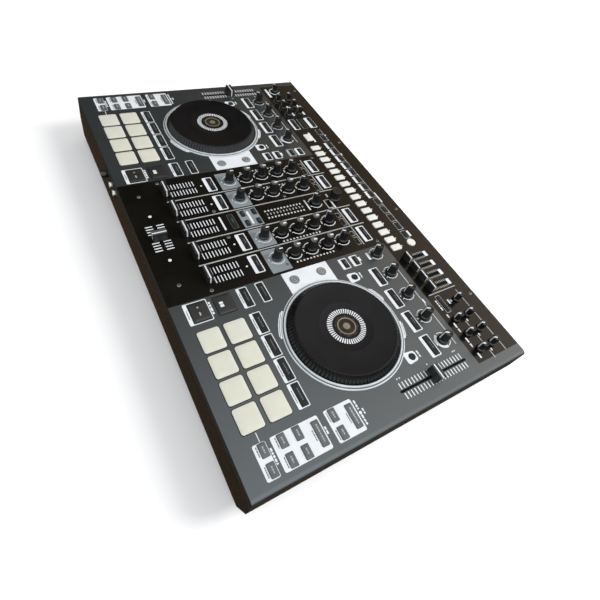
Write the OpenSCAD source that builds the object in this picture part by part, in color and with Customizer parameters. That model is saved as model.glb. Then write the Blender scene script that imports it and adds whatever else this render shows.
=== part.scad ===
// DJ controller with two jog-wheel decks, a five-strip mixer between them and a
// step-button band along the rear. The origin is the middle of the footprint, on
// the surface it stands on: +X is the player's right, +Y the rear, +Z up.

/* [Body] */
// Width of the body at its widest
body_w = 729; // [715:1:880]
// Depth of the body, from the foot of the front wall to the rear wall
body_d = 436; // [432:1:530]
// Height of the control surface above the table
deck_z = 74; // [66:1:90]
// Height of the rubber feet
foot_h = 7; // [4:0.5:9]
// Wall of the case and of the top panel's skirt
wall = 3; // [2:0.1:4]
// How far the front wall leans out between its top and its foot
front_lean = 6; // [2:1:10]
// How far each side tucks in at its foot
side_tuck = 14; // [4:1:20]
// Height of the tucked-in stretch of each side
tuck_h = 27; // [10:1:32]
// Rounding of the top panel's long side edges
edge_r = 6; // [3:0.5:8]
// Height of the top panel's skirt
skirt_h = 14; // [12:1:18]
// Thickness of the top panel without its faceplates
panel_t = 2.5; // [2:0.5:4]
// Thickness of the two black faceplates
plate_t = 1.5; // [1:0.25:2]

/* [Jog wheels] */
// Sideways distance of each jog wheel's axis from the middle
jog_x = 230; // [228:1:236]
// Radius of a jog wheel at the foot of its fluted side
jog_r = 78; // [60:0.5:79]
// How much smaller in radius a jog wheel's flat top is than its foot
jog_taper = 7.5; // [4:0.5:12]
// Height of a jog wheel's top above the control surface
jog_rise = 12.7; // [10:0.1:16]
// Width of the fixed ring round a jog wheel
ring_w = 5.9; // [3:0.1:6.4]
// Height of the fixed ring
ring_h = 3; // [2:0.25:5]
// Radius of the spindle that carries a jog wheel
spindle_r = 4; // [3:0.25:6]

/* [Pads and buttons] */
// Width of a pad
pad_w = 31; // [24:0.5:32]
// Depth of a pad
pad_d = 28.5; // [22:0.5:30]
// Side-to-side pitch of the pads
pad_pitch = 35.2; // [34:0.1:36]
// How far pads and buttons stand out of the surface
button_rise = 1.6; // [1.2:0.1:3]
// Travel of a pad or button
press = 1; // [0.5:0.1:1.2]
// Width of a step button
step_w = 11.5; // [8:0.5:13]
// Depth of a step button
step_d = 19; // [14:0.5:22]
// Pitch of the step buttons
step_pitch = 17.6; // [17:0.1:18]

/* [Knobs] */
// Height of a rotary knob above the surface
knob_h = 20; // [14:0.5:24]
// Radius of a rotary knob's skirt
knob_r = 8; // [6:0.25:9]
// Radius of a rotary knob's top
knob_top_r = 6; // [4:0.25:6.5]
// Height of the skirt at a rotary knob's foot
knob_skirt_h = 3; // [2:0.5:5]
// Radius of a rotary knob's shaft
shaft_r = 3; // [2:0.1:4]
// How far a rotary knob's shaft reaches below the surface
shaft_down = 14; // [10:1:18]
// Height of the small knobs on the rear band
rear_knob_h = 16; // [12:0.5:20]
// Radius of the small knobs on the rear band
rear_knob_r = 6; // [5.5:0.25:8]
// Side-to-side pitch of the mixer strips
strip_pitch = 43.6; // [42:0.1:44]
// Front-to-rear pitch of the knobs in a strip
knob_pitch = 29.1; // [26:0.1:30]

/* [Faders] */
// Travel of a channel fader
fader_travel = 47; // [30:1:48]
// Travel of the crossfader, end to end
cross_travel = 45; // [30:1:60]
// Travel of a pitch fader, end to end
pitch_travel = 107; // [60:1:110]
// Travel of the four small rear faders
mini_travel = 36; // [20:1:38]
// Height of a channel fader's cap above the surface
cap_h = 14; // [10:0.5:20]

/* [Clearances] */
// Gap all round a pad or button in its hole
button_gap = 0.4; // [0.3:0.05:0.6]
// Gap between a knob's shaft and its hole
shaft_gap = 0.5; // [0.3:0.05:0.8]
// Gap between a fader's stem and its slot
slot_gap = 0.7; // [0.4:0.05:1]
// Gap under a knob, cap or jog wheel
lift = 0.8; // [0.5:0.1:1.2]
// Radial gap between a jog wheel's hub and its spindle
spindle_gap = 0.05; // [0.02:0.01:0.09]

/* [Hidden] */
$fn = 64;
cut = 1;
STRIPS = [1, 2, 3, 4];
EFFECTS = [0, 1, 2, 3];
sides = [["left", -1], ["right", 1]];

// Edges of the control surface and of the faceplates
front_y = -body_d / 2 + front_lean;
rear_y = body_d / 2;
floor_z = foot_h + wall;
skirt_z = deck_z - skirt_h;
seat_z = deck_z - plate_t;
panel_under_z = seat_z - panel_t;
mixer_half = 116;
band_y = rear_y - 83;
band_half = body_w / 2 - 17.5;
plate_gap = 0.15;
lean_slope = front_lean / (deck_z - foot_h);

// Jog wheels
jog_y = front_y + 196;
jog_top_z = deck_z + jog_rise;
jog_foot_z = deck_z + lift;
jog_wall = 3;
hub_r = 11;
hub_z = deck_z - 16;
hub_gap = 0.3;
bore_r = spindle_r + spindle_gap;
hub_hole_r = hub_r + 3;
jog_top_r = jog_r - jog_taper;
ring_gap = 0.6;
ring_bevel = 1.2;
ring_in_r = jog_r + ring_gap;
ring_r = ring_in_r + ring_w;
spindle_foot_r = 16;
spindle_foot_h = 4;
spindle_shoulder_r = 8;

// Pads
pad_x = 178;
pad_row_y = [front_y + 32.6, front_y + 66.7];
pad_corner = 2;

// Deck buttons, right deck, as [x, y, width, depth]. The left deck mirrors them.
deck_in_x = 134.8;
small_key_x = 131.2;
outer_x = body_w / 2 - 32.3;
pair_x = 11;
key_corner = 0.6;
wide_key = [30, 8.8];
pair_key = [15.6, 8.8];
mode_key = [28.5, 8.5];
effect_key = [29.5, 8];
small_key = [13, 6.5];
cue_key = [29, 24];
play_key = [28, 23];
effect_x = [170.6, 212.8, 254.7, 296.6];
effect_y = rear_y - 108.5;
effect_key_y = effect_y - 22.5;
cue_mix_x = 131;
deck_keys = concat(
    [for (i = [0:3]) [pad_x + i * pad_pitch - 0.5, front_y + 98.3, mode_key.x, mode_key.y]],
    [for (x = effect_x) [x, effect_key_y, effect_key.x, effect_key.y]],
    [[deck_in_x, front_y + 123.2, mode_key.x, mode_key.y],
     [deck_in_x, front_y + 98.1, mode_key.x, mode_key.y],
     [deck_in_x, front_y + 67, cue_key.x, cue_key.y],
     [deck_in_x, front_y + 34, play_key.x, play_key.y],
     [small_key_x, jog_y + 86, small_key.x, small_key.y],
     [small_key_x, jog_y + 66.4, small_key.x, small_key.y],
     [outer_x, front_y + 144.2, wide_key.x, wide_key.y],
     [outer_x, front_y + 97.5, wide_key.x, wide_key.y]],
    [for (s = [-1, 1], y = [122.2, 74.8, 55.8, 32.8])
        [outer_x + s * pair_x, front_y + y, pair_key.x, pair_key.y]]
);
left_extra_keys = [[-small_key_x, effect_y + 7, small_key.x, small_key.y],
                   [-small_key_x, effect_y - 10.6, small_key.x, small_key.y]];
round_key_r = 4.7;
touch_key_r = 7;
touch_key_x = 131.5;
deck_round_keys = [
    [158.2, jog_y + 65.5, round_key_r],
    [299.6, jog_y + 66, round_key_r],
    [touch_key_x, jog_y + 22.5, touch_key_r],
    [touch_key_x, jog_y - 22.5, touch_key_r]
];

// Mixer
trim_y = front_y + 284.6;
mixer_key = [27, 6.7];
assign_y = band_y - 17.6;
cue_y = front_y + 136.6;
centre_keys = [11.5, 6.3];
plate_keys = [[-10.2, front_y + 176.5], [10.2, front_y + 176.5],
              [-10.2, front_y + 157.4], [10.2, front_y + 157.4]];
mixer_keys = concat(
    [for (s = [-2, -1, 1, 2]) [s * strip_pitch, assign_y, mixer_key.x, mixer_key.y]],
    [for (s = [-2:2]) [s * strip_pitch, cue_y, mixer_key.x, mixer_key.y]],
    [for (k = plate_keys) [k.x, k.y, centre_keys.x, centre_keys.y]]
);
browse_r = 9.5;
browse_h = 18;
browse_y = band_y - 24.5;
knob_step = 1;
fader_y = front_y + 63;
cross_x = 1.5;
cross_y = front_y + 27;
cap_w = 22;
cap_d = 11;
stem_w = 1.6;
stem_l = 6;
stem_down = 10;

// Pitch faders
pitch_x = body_w / 2 - 31;
pitch_y = jog_y + 78;
pitch_cap_h = 14;

// Rear band
step_y = rear_y - 67;
step_count = 16;
step_shift = 1.4;
row_y = rear_y - 32.7;
row_pitch = 20.5;
row_key = [14.5, 8.5];
band_key = [30, 7];
white_key = [20, 12];
long_key = [28, 6];
drum_keys = concat(
    [for (i = [0:12]) [-134.4 + i * row_pitch, row_y, row_key.x, row_key.y]],
    [for (x = [-178.5, -157.5]) [x, row_y, row_key.x, row_key.y]],
    [for (y = [-31.5, -52.8, -70.2]) [-211, rear_y + y, band_key.x, band_key.y]],
    [[-165.7, rear_y - 65.5, white_key.x, white_key.y], [249, rear_y - 65.5, long_key.x, long_key.y]]
);
tap_key = [130, rear_y - 34.2, 7.5];
mini_x = [158, 178, 198, 218];
mini_y = rear_y - 67;
mini_cap_h = 13;
mini_cap = [15, 9];
rear_knob_places = concat(
    [for (x = [278, 304, 330], y = [-41, -65]) [x, rear_y + y]],
    [for (x = [-292.6, -267.8, -243], y = [-42, -66.5]) [x, rear_y + y]],
    [[250, rear_y - 39], [-328, rear_y - 57]]
);

// Sockets, on the front wall and on the rear wall
front_knob_x = -180;
front_knob_z = 50;
front_knob_r = 5.5;
front_knob_out = 8;
big_jack_x = -160;
small_jack_x = -140;
big_jack_r = 3.25;
small_jack_r = 1.85;
jack_len = 14;
jack_body_r = 7;
jack_z = deck_z / 2 + 6;
jack_proud = 1;
front_mouth_y = -body_d / 2 + (jack_z - foot_h) * lean_slope - jack_proud;
rear_reach = front_knob_out - (front_knob_z - foot_h) * lean_slope;
booth_x = [-20, 0];
xlr_x = [40, 72];
xlr_r = 11;
phono_x = [for (i = [0:3]) 120 + i * 34];
phono_r = 4;
phono_pin_r = 1.7;
combo_x = [-120, -88];
usb_x = -210;
usb_size = [12.4, 11.2];
power_x = -260;
power_r = 2.85;

// Boards and their posts
board_t = 1.6;
board_z = deck_z - 24;
main_board_z = floor_z + 8;
post_r = 4;
deck_board = [[122, front_y + 24], [body_w / 2 - 8, rear_y - 24]];
mixer_board_half = 108;

// Screws
screw_r = 1.5;
screw_head_r = 2.8;
screw_head_h = 0.8;
screw_gap = 0.1;
screw_down = 4;
screw_bevel = 0.6;
mixer_screws = [[-108.5, band_y - 7], [108.5, band_y - 7], [-29, jog_y + 45], [29, jog_y + 45],
                [-28, front_y + 118], [28, front_y + 118], [-109, front_y + 58],
                [-87, front_y + 24], [87, front_y + 24], [109, front_y + 60]];
drum_screws = [[-139, rear_y - 9], [55, rear_y - 9], [250, rear_y - 7.5], [-325, rear_y - 9]];

// A slab with round corners, standing on z
module slab(x, y, w, d, z, h, r) {
    translate([x, y, z]) linear_extrude(h) {
        square([w - 2 * r, d], center = true);
        square([w, d - 2 * r], center = true);
        for (a = [-1, 1], b = [-1, 1])
            translate([a * (w / 2 - r), b * (d / 2 - r)]) circle(r, $fn = 32);
    }
}

// The body's outline across its width, shrunk by t, from z = lo to z = hi
module side_profile(t, lo, hi) {
    half = body_w / 2 - t;
    tuck = min(side_tuck, half);
    intersection() {
        polygon([[-half + tuck, foot_h], [half - tuck, foot_h], [half, foot_h + tuck_h],
                 [half, deck_z - edge_r], [half - edge_r + t, deck_z - t],
                 [-half + edge_r - t, deck_z - t], [-half, deck_z - edge_r],
                 [-half, foot_h + tuck_h]]);
        translate([-half, lo]) square([2 * half, hi - lo]);
    }
}

// The round long edges of the body, as corner pieces to add to the profile
module edge_rounds(t) {
    for (s = [-1, 1])
        translate([s * (body_w / 2 - edge_r), deck_z - edge_r]) circle(edge_r - t);
}

// The body's outer shape shrunk by t, between two heights
module body_block(t, lo, hi) {
    intersection() {
        translate([0, rear_y - t, 0]) rotate([90, 0, 0])
            linear_extrude(body_d - 2 * t) intersection() {
                union() {
                    side_profile(t, lo, hi);
                    edge_rounds(t);
                }
                translate([-body_w, lo]) square([2 * body_w, hi - lo]);
            }
        rotate([90, 0, 90]) linear_extrude(body_w, center = true)
            polygon([[-body_d / 2 + t, foot_h - cut], [rear_y - t, foot_h - cut],
                     [rear_y - t, deck_z + cut],
                     [front_y + t + cut * lean_slope, deck_z + cut]]);
    }
}

// Holes for a list of [x, y, width, depth] keys
module key_holes(keys, r) {
    for (k = keys)
        slab(k[0], k[1], k[2] + 2 * button_gap, k[3] + 2 * button_gap,
             panel_under_z - cut, panel_t + plate_t + 2 * cut, r);
}

// Caps for a list of keys: each stands out of the surface and reaches under the panel
module key_caps(keys, r) {
    for (k = keys)
        slab(k[0], k[1], k[2], k[3], panel_under_z - cut,
             deck_z + button_rise - panel_under_z + cut, r);
}

module round_hole(x, y, r) {
    translate([x, y, panel_under_z - cut]) cylinder(r = r, h = panel_t + plate_t + 2 * cut);
}

module fader_slot(x, y, length) {
    slab(x, y, stem_w + 2 * slot_gap, length + stem_l + 2 * slot_gap,
         panel_under_z - cut, panel_t + plate_t + 2 * cut, stem_w / 2);
}

function mirrored(keys, s) = [for (k = keys) concat([s * k[0]], [for (i = [1:len(k) - 1]) k[i]])];
function pads(s) = [for (i = [0:3], y = pad_row_y) [s * (pad_x + i * pad_pitch), y, pad_w, pad_d]];
function steps() = [for (i = [0:step_count - 1])
    [(i - (step_count - 1) / 2) * step_pitch - step_shift, step_y, step_w, step_d]];
function row(i) = trim_y - i * knob_pitch;
function strip_x(i) = [-2, -1, 1, 2][i - 1] * strip_pitch;

// Every hole through the decks' slate panel
module deck_holes() {
    for (side = sides) {
        s = side[1];
        key_holes(pads(s), pad_corner);
        key_holes(mirrored(deck_keys, s), 1);
        for (k = deck_round_keys) round_hole(s * k.x, k.y, k[2] + button_gap);
        for (x = effect_x) round_hole(s * x, effect_y, shaft_r + shaft_gap);
        round_hole(s * jog_x, jog_y, hub_hole_r);
        fader_slot(s * pitch_x, pitch_y, pitch_travel);
    }
    key_holes(left_extra_keys, 1);
    round_hole(cue_mix_x, effect_y, shaft_r + shaft_gap);
}

// Every hole through the mixer's faceplate
module mixer_holes() {
    for (i = STRIPS) {
        for (j = [0:4]) round_hole(strip_x(i), row(j), shaft_r + shaft_gap);
        fader_slot(strip_x(i), fader_y + fader_travel / 2, fader_travel);
    }
    round_hole(0, row(0), shaft_r + shaft_gap);
    round_hole(0, browse_y, shaft_r + shaft_gap);
    fader_slot(0, fader_y + fader_travel / 2, fader_travel);
    slab(0, cross_y, cross_travel + stem_l + 2 * slot_gap, stem_w + 2 * slot_gap,
         panel_under_z - cut, panel_t + plate_t + 2 * cut, stem_w / 2);
    key_holes(mixer_keys, 1);
    screw_holes(mixer_screws);
}

// Every hole through the rear band's faceplate
module drum_holes() {
    key_holes(steps(), 1);
    key_holes(drum_keys, 1);
    round_hole(tap_key.x, tap_key.y, tap_key[2] + button_gap);
    for (x = mini_x) fader_slot(x, mini_y + mini_travel / 2, mini_travel);
    for (p = rear_knob_places) round_hole(p.x, p.y, shaft_r + shaft_gap);
    screw_holes(drum_screws);
}

module screw_holes(places) {
    for (p = places) round_hole(p.x, p.y, screw_r + screw_gap);
}

module top_panel() {
    color("dimgray") difference() {
        body_block(0, skirt_z, deck_z);
        body_block(wall, skirt_z - cut, panel_under_z);
        mixer_plate_blank(plate_gap, cut);
        drum_plate_blank(plate_gap, cut);
        deck_holes();
        mixer_holes();
        drum_holes();
    }
}

// The mixer's faceplate without holes, grown by g all round and by up above
module mixer_plate_blank(g, up) {
    translate([-mixer_half - g, -body_d / 2, seat_z])
        cube([2 * (mixer_half + g), band_y - plate_gap + body_d / 2 + g, plate_t + up]);
}

module drum_plate_blank(g, up) {
    translate([-band_half - g, band_y - g, seat_z])
        cube([2 * (band_half + g), rear_y - band_y + 2 * g + cut, plate_t + up]);
}

// The mixer's faceplate and the rear band's, side by side
module faceplates() {
    color("black") {
        difference() {
            intersection() {
                mixer_plate_blank(0, 0);
                body_block(0, skirt_z, deck_z);
            }
            mixer_holes();
        }
        difference() {
            intersection() {
                drum_plate_blank(0, 0);
                body_block(0, skirt_z, deck_z);
            }
            drum_holes();
        }
    }
}

module bottom_case() {
    color("black") difference() {
        union() {
            difference() {
                body_block(0, foot_h, skirt_z);
                body_block(wall, floor_z, skirt_z + cut);
            }
            posts();
        }
        for (x = [big_jack_x, small_jack_x]) front_bore(x, jack_z, jack_body_r + plate_gap);
        front_bore(front_knob_x, front_knob_z, shaft_r + shaft_gap);
        for (x = concat(booth_x, combo_x)) rear_bore(x, jack_body_r + plate_gap);
        for (x = xlr_x) rear_bore(x, xlr_r + plate_gap);
        for (x = phono_x) rear_bore(x, phono_r + plate_gap);
        rear_bore(power_x, jack_body_r + plate_gap);
        translate([usb_x, rear_y, jack_z])
            cube([usb_size.x + 2 * wall + 2 * plate_gap, 4 * wall,
                  usb_size.y + 2 * wall + 2 * plate_gap], center = true);
    }
}

// Posts that the circuit boards stand on
module posts() {
    for (side = sides, x = [deck_board[0].x + 8, deck_board[1].x - 16],
         y = [deck_board[0].y + 8, deck_board[1].y - 8])
        translate([side[1] * x, y, foot_h]) cylinder(r = post_r, h = board_z - foot_h);
    for (x = [-1, 1], y = [front_y + 40, rear_y - 40])
        translate([x * 60, y, foot_h]) cylinder(r = post_r, h = board_z - foot_h);
    for (x = [-1, 1], y = [jog_y - 60, jog_y + 60])
        translate([x * 100, y, foot_h]) cylinder(r = post_r, h = main_board_z - foot_h);
}

module front_bore(x, z, r) {
    translate([x, front_y + 4 * wall, z]) rotate([90, 0, 0]) cylinder(r = r, h = 8 * wall);
}

module rear_bore(x, r) {
    translate([x, rear_y + 2 * wall, jack_z]) rotate([90, 0, 0]) cylinder(r = r, h = 4 * wall);
}

// A round socket whose mouth is at y, opening along direction s (+1 rear, -1 front)
module socket(x, y, z, s, body_r, bore_r, length) {
    translate([x, y, z]) rotate([s * 90, 0, 0]) difference() {
        cylinder(r = body_r, h = length + wall);
        translate([0, 0, -cut]) cylinder(r = bore_r, h = length + cut);
    }
}

module io_sockets() {
    color("silver") {
        for (x = [big_jack_x, small_jack_x])
            socket(x, front_mouth_y, jack_z, -1, jack_body_r,
                   x == big_jack_x ? big_jack_r : small_jack_r, jack_len);
        for (x = booth_x)
            socket(x, rear_y + rear_reach / 2, jack_z, 1, jack_body_r, big_jack_r, jack_len);
        for (x = combo_x)
            socket(x, rear_y + rear_reach / 2, jack_z, 1, jack_body_r, big_jack_r, jack_len);
        for (x = xlr_x) socket(x, rear_y, jack_z, 1, xlr_r, xlr_r - 1.5, jack_len);
        for (x = phono_x)
            socket(x, rear_y + rear_reach, jack_z, 1, phono_r, phono_pin_r, jack_len);
        socket(power_x, rear_y, jack_z, 1, jack_body_r, power_r, jack_len);
        usb_socket();
    }
}

module usb_socket() {
    translate([usb_x, rear_y - jack_len / 2, jack_z]) difference() {
        cube([usb_size.x + 2 * wall, jack_len, usb_size.y + 2 * wall], center = true);
        translate([0, wall, 0]) cube([usb_size.x, jack_len, usb_size.y], center = true);
    }
}

module circuit_boards() {
    color("darkgreen") {
        for (side = sides) difference() {
            s = side[1];
            x0 = min(s * deck_board[0].x, s * deck_board[1].x);
            translate([x0, deck_board[0].y, board_z])
                cube([deck_board[1].x - deck_board[0].x,
                      deck_board[1].y - deck_board[0].y, board_t]);
            translate([s * jog_x, jog_y, board_z - cut])
                cylinder(r = spindle_foot_r, h = board_t + 2 * cut);
        }
        translate([-mixer_board_half, deck_board[0].y, board_z])
            cube([2 * mixer_board_half, deck_board[1].y - deck_board[0].y, board_t]);
        translate([-120, jog_y - 70, main_board_z]) cube([240, 140, board_t]);
    }
}

module jog_spindles() {
    color("lightsteelblue") for (side = sides)
        translate([side[1] * jog_x, jog_y, 0]) {
            translate([0, 0, floor_z]) cylinder(r = spindle_foot_r, h = spindle_foot_h);
            translate([0, 0, floor_z]) cylinder(r = spindle_shoulder_r, h = hub_z - floor_z);
            translate([0, 0, floor_z])
                cylinder(r = spindle_r, h = jog_top_z - jog_wall - 2 - floor_z);
        }
}

module jog_rings() {
    color("silver") for (side = sides)
        translate([side[1] * jog_x, jog_y, deck_z]) rotate_extrude($fn = 128)
            polygon([[ring_in_r, 0], [ring_r, 0], [ring_r, ring_h - ring_bevel],
                     [ring_r - ring_bevel, ring_h], [ring_in_r, ring_h]]);
}

module jog_wheel(s) {
    under = jog_top_z - jog_wall;
    translate([s * jog_x, jog_y, 0]) rotate_extrude($fn = 128)
        polygon([[bore_r, hub_z + hub_gap], [hub_r, hub_z + hub_gap], [hub_r, under],
                 [jog_top_r - jog_wall, under], [jog_r - jog_wall, jog_foot_z],
                 [jog_r, jog_foot_z], [jog_r, jog_foot_z + 1.5], [jog_top_r, jog_top_z],
                 [0, jog_top_z], [0, under - 1], [bore_r, under - 1]]);
}

module rubber_feet() {
    color("dimgray") for (x = [-1, 0, 1], y = [front_y + 34, rear_y - 40])
        translate([x * (body_w / 2 - 60), y, 0]) difference() {
            cylinder(r = 12, h = foot_h);
            translate([0, 0, -cut]) cylinder(r = 4, h = foot_h / 2 + cut);
        }
}

module case_screws() {
    color("gray") for (p = concat(mixer_screws, drum_screws)) translate([p.x, p.y, 0]) {
        translate([0, 0, panel_under_z - screw_down])
            cylinder(r = screw_r, h = deck_z - panel_under_z + screw_down);
        translate([0, 0, deck_z]) cylinder(r1 = screw_head_r, r2 = screw_head_r - screw_bevel,
                                           h = screw_head_h);
    }
}

// A knob on its shaft, standing on the surface
module knob(x, y, r, top_r, h) {
    translate([x, y, 0]) {
        translate([0, 0, deck_z + lift]) cylinder(r = r, h = knob_skirt_h);
        translate([0, 0, deck_z + lift + knob_skirt_h])
            cylinder(r1 = r - knob_step, r2 = top_r, h = h - lift - knob_skirt_h);
        translate([0, 0, deck_z - shaft_down])
            cylinder(r = shaft_r, h = shaft_down + lift + cut);
    }
}

module channel_knob(x, y) {
    color("black") knob(x, y, knob_r, knob_top_r, knob_h);
}

module browse_knob() {
    color("black") knob(0, browse_y, browse_r, browse_r - knob_step, browse_h);
}

// The small knobs of the rear band
module rear_knobs() {
    color("black") for (p = rear_knob_places)
        knob(p.x, p.y, rear_knob_r, rear_knob_r - knob_step, rear_knob_h);
}

module front_level_knob() {
    face_y = -body_d / 2 + (front_knob_z - foot_h) * lean_slope;
    color("black") translate([front_knob_x, face_y - front_knob_out, front_knob_z])
        rotate([-90, 0, 0]) {
            cylinder(r = front_knob_r, h = front_knob_out - lift);
            cylinder(r = shaft_r, h = front_knob_out + 12);
        }
}

// A fader cap on its stem. The cap is w by d, and the stem's long side lies along the slot.
module fader(x, y, w, d, h, stem) {
    slab(x, y, w, d, deck_z + lift, h - lift, 1);
    translate([x, y, deck_z - stem_down / 2 + cut])
        cube([stem.x, stem.y, stem_down + 2 * lift + cut], center = true);
}

module channel_fader(x) {
    color("black") fader(x, fader_y, cap_w, cap_d, cap_h, [stem_w, stem_l]);
}

module crossfader() {
    color("black") fader(cross_x, cross_y, cap_d, cap_w - 2, cap_h, [stem_l, stem_w]);
}

module pitch_fader(s) {
    color("black") fader(s * pitch_x, pitch_y, cap_w - 1.5, cap_d + 2, pitch_cap_h,
                         [stem_w, stem_l]);
}

module drum_faders() {
    color("black") for (x = mini_x)
        fader(x, mini_y, mini_cap.x, mini_cap.y, mini_cap_h, [stem_w, stem_l]);
}

module deck_buttons(s) {
    color("darkslategray") {
        key_caps(mirrored(deck_keys, s), key_corner);
        for (k = deck_round_keys) round_cap(s * k.x, k.y, k[2]);
        if (s < 0) key_caps(left_extra_keys, key_corner);
    }
}

module round_cap(x, y, r) {
    translate([x, y, panel_under_z - cut])
        cylinder(r = r, h = deck_z + button_rise - panel_under_z + cut);
}

module pad_set(s) {
    color("ivory") key_caps(pads(s), pad_corner);
}

module mixer_buttons() {
    color("darkslategray") key_caps(mixer_keys, key_corner);
}

module step_buttons() {
    color("white") key_caps(steps(), key_corner);
}

module drum_buttons() {
    color("darkslategray") {
        key_caps(drum_keys, key_corner);
        round_cap(tap_key.x, tap_key.y, tap_key[2]);
    }
}

bottom_case();
top_panel();
faceplates();
jog_rings();
jog_spindles();
io_sockets();
circuit_boards();
rubber_feet();
case_screws();
rear_knobs();
mixer_buttons();
step_buttons();
drum_buttons();
browse_knob();
channel_knob(0, row(0));  // main_level_knob
channel_knob(cue_mix_x, effect_y);  // cue_mix_knob
front_level_knob();
crossfader();
channel_fader(0);  // main_fader
drum_faders();
for (side = sides) {
    name = side[0];
    s = side[1];
    color("black") jog_wheel(s);
    pad_set(s);
    deck_buttons(s);
    pitch_fader(s);
    for (i = EFFECTS)
        channel_knob(s * effect_x[s > 0 ? i : 3 - i], effect_y);
}
for (i = STRIPS) {
    x = strip_x(i);
    channel_fader(x);
    channel_knob(x, row(0));
    channel_knob(x, row(1));
    channel_knob(x, row(2));
    channel_knob(x, row(3));
    channel_knob(x, row(4));
}
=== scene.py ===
"""Looks of the DJ controller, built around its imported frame.

Lengths are millimetres up to make(), which turns them into metres. Positions come from the frame:
box() and solids() read the CAD nodes, and printed marks are placed from the keys that they belong to.
"""

import math
import random

import bmesh
import bpy
from mathutils import Euler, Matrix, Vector
from mathutils.geometry import tessellate_polygon


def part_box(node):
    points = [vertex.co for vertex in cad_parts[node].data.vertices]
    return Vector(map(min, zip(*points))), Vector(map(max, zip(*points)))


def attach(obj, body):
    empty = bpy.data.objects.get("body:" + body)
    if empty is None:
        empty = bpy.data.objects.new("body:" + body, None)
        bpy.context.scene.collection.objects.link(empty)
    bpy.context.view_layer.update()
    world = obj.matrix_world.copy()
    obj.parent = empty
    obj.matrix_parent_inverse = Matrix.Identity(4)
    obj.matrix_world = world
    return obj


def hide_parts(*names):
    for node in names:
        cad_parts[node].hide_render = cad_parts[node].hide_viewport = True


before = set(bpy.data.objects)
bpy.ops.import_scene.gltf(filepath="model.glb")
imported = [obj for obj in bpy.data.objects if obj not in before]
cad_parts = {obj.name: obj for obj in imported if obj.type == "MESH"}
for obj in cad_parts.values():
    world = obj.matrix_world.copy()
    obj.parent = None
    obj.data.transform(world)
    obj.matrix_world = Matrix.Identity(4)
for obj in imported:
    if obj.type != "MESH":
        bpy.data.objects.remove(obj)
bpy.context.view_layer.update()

MM = 0.001
INK = 0.07  # thickness of printed marks
LIFT = 0.8  # gap under a knob, a fader cap or a jog wheel
SIDES = (("left", -1), ("right", 1))


def box(node):
    """Lowest and highest corner of a CAD node, in millimetres."""
    lo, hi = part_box(node)
    return lo / MM, hi / MM


def solids(node):
    """The box of each separate solid of a CAD node, in millimetres, from left to right."""
    mesh = bmesh.new()
    mesh.from_mesh(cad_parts[node].data)
    bmesh.ops.remove_doubles(mesh, verts=mesh.verts, dist=1e-6)
    boxes, seen = [], set()
    for start in mesh.verts:
        if start in seen:
            continue
        seen.add(start)
        island, todo = [], [start]
        while todo:
            vert = todo.pop()
            island.append(vert.co)
            for edge in vert.link_edges:
                other = edge.other_vert(vert)
                if other not in seen:
                    seen.add(other)
                    todo.append(other)
        lo = Vector([min(p[i] for p in island) for i in range(3)]) / MM
        hi = Vector([max(p[i] for p in island) for i in range(3)]) / MM
        boxes.append((lo, hi))
    mesh.free()
    return sorted(boxes, key=lambda b: (round(b[0].x, 1), b[0].y))


def middle(b):
    return (b[0] + b[1]) / 2


def span(b):
    """Width and depth of a box."""
    return b[1].x - b[0].x, b[1].y - b[0].y


def size_is(b, width, depth):
    return abs(b[1].x - b[0].x - width) < 0.1 and abs(b[1].y - b[0].y - depth) < 0.1


DECK = box("top_panel")[1].z
REAR = box("top_panel")[1].y
JOG = {name: middle(box(f"{name}_jog_wheel")) for name, _ in SIDES}
RING_R = box("jog_rings")[1].x - JOG["right"].x
STRIPS = [middle(box(f"channel_fader_{i}")).x for i in (1, 2, 3, 4)]
PITCH = STRIPS[3] - STRIPS[2]

# Width and depth of each kind of key, which tells the kinds apart
MODE, EFFECT, CUE, PLAY = (28.5, 8.5), (29.5, 8), (29, 24), (28, 23)
SMALL, WIDE, PAIR, ROUND, TOUCH = (13, 6.5), (30, 8.8), (15.6, 8.8), (9.4, 9.4), (14, 14)
MIXER_KEY, PLATE_KEY = (27, 6.7), (11.5, 6.3)
ROW_KEY, BAND_KEY, WHITE_KEY, TAP_KEY, LONG_KEY = (14.5, 8.5), (30, 7), (20, 12), (15, 15), (28, 6)


# ---- mesh building


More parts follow.
